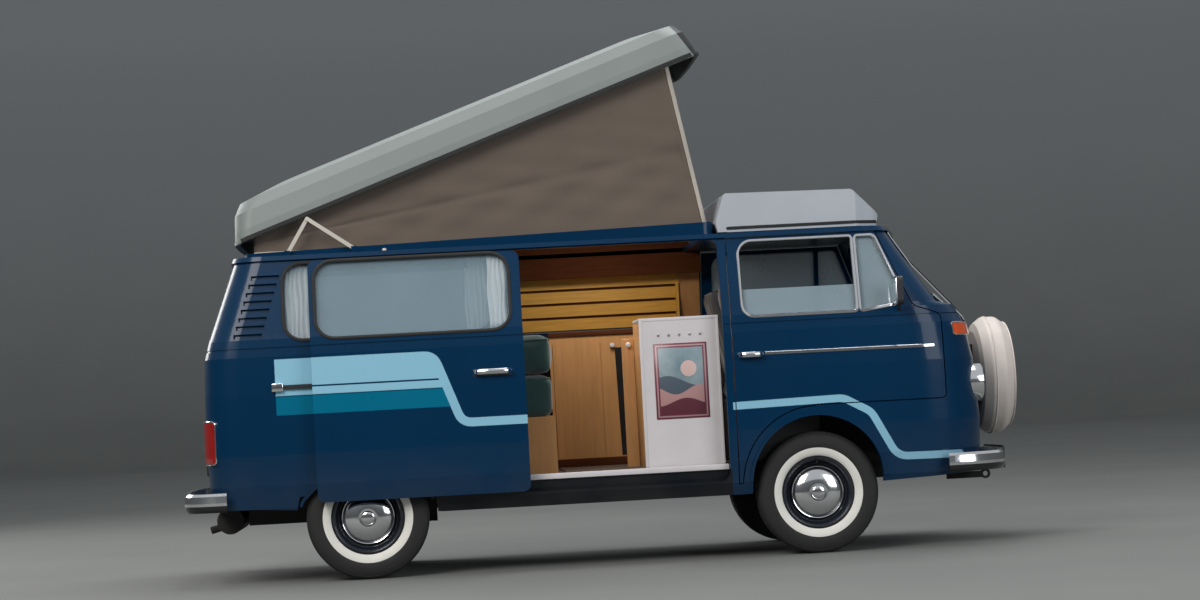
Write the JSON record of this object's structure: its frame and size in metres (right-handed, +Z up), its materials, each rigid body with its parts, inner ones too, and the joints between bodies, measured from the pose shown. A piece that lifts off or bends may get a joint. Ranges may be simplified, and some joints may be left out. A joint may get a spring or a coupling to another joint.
{
  "type": "camper van",
  "caption": "Rear-engined forward-control camper van with a rear-hinged raised roof, its side door slid open.",
  "frame": {"origin": "on the ground, under the middle of the whole van's box", "axes": "+X towards the front of the van, +Y to its left, +Z up"},
  "size_m": [4.6098, 1.968, 2.9015],
  "materials": {
    "body_paint": "gloss paint, deep blue with light blue and teal stripes",
    "floor_paint": "satin",
    "underbody": "matt black",
    "black_trim": "satin",
    "window_glass": "clear",
    "roof_plastic": "off-white moulding",
    "canvas": "woven",
    "stay_metal": "satin",
    "chrome": "polished",
    "white_vinyl": "satin vinyl",
    "lamp_glass": "ribbed lens in a bright ring",
    "amber_lens": "lens",
    "red_lens": "lens",
    "seat_fabric": "dark green upholstery",
    "tan_wood": "veneer",
    "golden_wood": "varnished",
    "white_board": "painted board",
    "engine_metal": "cast",
    "tyre": "rubber with a white wall ring",
    "wheel_metal": "painted rim with a chrome cap"
  },
  "bodies": {
    "van": {"side_panel_right": "body_paint", "side_panel_left": "body_paint", "front_panel": "body_paint", "rear_panel": "body_paint", "roof_panel": "body_paint", "floor_pan": "floor_paint", "wheel_housings": "floor_paint", "engine_deck": "floor_paint", "toe_board": "floor_paint", "chassis_rails": "underbody", "sliding_door": "body_paint", "sliding_door_glass": "window_glass", "slide_rail": "black_trim", "windscreen": "window_glass", "side_glass_right": "window_glass", "side_glass_left": "window_glass", "roof_canvas": "canvas", "luggage_tray": "roof_plastic", "front_bumper": "chrome", "rear_bumper": "chrome", "spare_wheel_cover": "white_vinyl", "spare_wheel_carrier": "underbody", "headlamps": "lamp_glass", "front_indicators": "amber_lens", "tail_lamps": "red_lens", "front_grille": "black_trim", "dashboard": "black_trim", "steering_wheel": "black_trim", "front_seats": "seat_fabric", "kitchen_unit": "tan_wood", "slatted_blind": "golden_wood", "white_cabinet": "white_board", "bench_base": "tan_wood", "bench_cushions": "seat_fabric", "front_axle_beam": "underbody", "rear_axle": "underbody", "engine_block": "engine_metal"},
    "door_right": {"cab_door_right": "body_paint", "cab_glass_right": "window_glass", "mirror_right": "black_trim"},
    "door_left": {"cab_door_left": "body_paint", "cab_glass_left": "window_glass", "mirror_left": "black_trim"},
    "gate": {"tailgate": "body_paint", "tailgate_glass": "window_glass"},
    "lid": {"engine_lid": "body_paint"},
    "roof": {"roof_shell": "roof_plastic"},
    "stay_rear": {"roof_stay_rear": "stay_metal"},
    "stay_front": {"roof_stay_front": "stay_metal"},
    "upright_left": {"knuckle_left": "underbody"},
    "upright_right": {"knuckle_right": "underbody"},
    "wheel_fr": {"tyre_front_right": "tyre", "wheel_front_right": "wheel_metal"},
    "wheel_fl": {"tyre_front_left": "tyre", "wheel_front_left": "wheel_metal"},
    "wheel_rr": {"tyre_rear_right": "tyre", "wheel_rear_right": "wheel_metal"},
    "wheel_rl": {"tyre_rear_left": "tyre", "wheel_rear_left": "wheel_metal"}
  },
  "joints": [
    {"name": "cab_door_right_hinge", "type": "hinge", "parent": "van", "child": "door_right", "pos_m": [1.79, -0.84, 1], "axis": [0, 0, 1], "range_deg": [0, 65]},
    {"name": "cab_door_left_hinge", "type": "hinge", "parent": "van", "child": "door_left", "pos_m": [1.79, 0.84, 1], "axis": [0, 0, -1], "range_deg": [0, 65]},
    {"name": "tailgate_hinge", "type": "hinge", "parent": "van", "child": "gate", "pos_m": [-1.984, 0, 1.69], "axis": [0, 1, 0], "range_deg": [0, 75]},
    {"name": "engine_lid_hinge", "type": "hinge", "parent": "van", "child": "lid", "pos_m": [-2.166, 0, 0.858], "axis": [0, 1, 0], "range_deg": [0, 65]},
    {"name": "roof_hinge", "type": "hinge", "parent": "van", "child": "roof", "pos_m": [-2.14, 0, 2.227], "axis": [0, -1, 0], "range_deg": [-18.7, 0], "deforming": ["roof_canvas"]},
    {"name": "roof_stay_rear_hinge", "type": "hinge", "parent": "van", "child": "stay_rear", "pos_m": [-1.665, 0, 1.75], "axis": [0, -1, 0], "range_deg": [-53, 0]},
    {"name": "roof_stay_front_hinge", "type": "hinge", "parent": "van", "child": "stay_front", "pos_m": [-1.309, 0, 1.758], "axis": [0, -1, 0], "range_deg": [0, 30.5]},
    {"name": "steer_left", "type": "hinge", "parent": "van", "child": "upright_left", "pos_m": [1.095, 0.618, 0.325], "axis": [0, 0, 1], "range_deg": [-28, 28]},
    {"name": "steer_right", "type": "hinge", "parent": "van", "child": "upright_right", "pos_m": [1.095, -0.618, 0.325], "axis": [0, 0, 1], "range_deg": [-28, 28]},
    {"name": "wheel_fr_spin", "type": "hinge", "parent": "upright_right", "child": "wheel_fr", "pos_m": [1.095, -0.6975, 0.325], "axis": [0, 1, 0], "continuous": true},
    {"name": "wheel_fl_spin", "type": "hinge", "parent": "upright_left", "child": "wheel_fl", "pos_m": [1.095, 0.6975, 0.325], "axis": [0, 1, 0], "continuous": true},
    {"name": "wheel_rr_spin", "type": "hinge", "parent": "van", "child": "wheel_rr", "pos_m": [-1.305, -0.7275, 0.325], "axis": [0, 1, 0], "continuous": true},
    {"name": "wheel_rl_spin", "type": "hinge", "parent": "van", "child": "wheel_rl", "pos_m": [-1.305, 0.7275, 0.325], "axis": [0, 1, 0], "continuous": true}
  ],
  "couplings": [
    {"joint": "roof_stay_rear_hinge", "follows": "roof_hinge", "ratio": 2.83},
    {"joint": "roof_stay_front_hinge", "follows": "roof_hinge", "ratio": -1.63},
    {"joint": "steer_right", "follows": "steer_left", "ratio": 1}
  ]
}
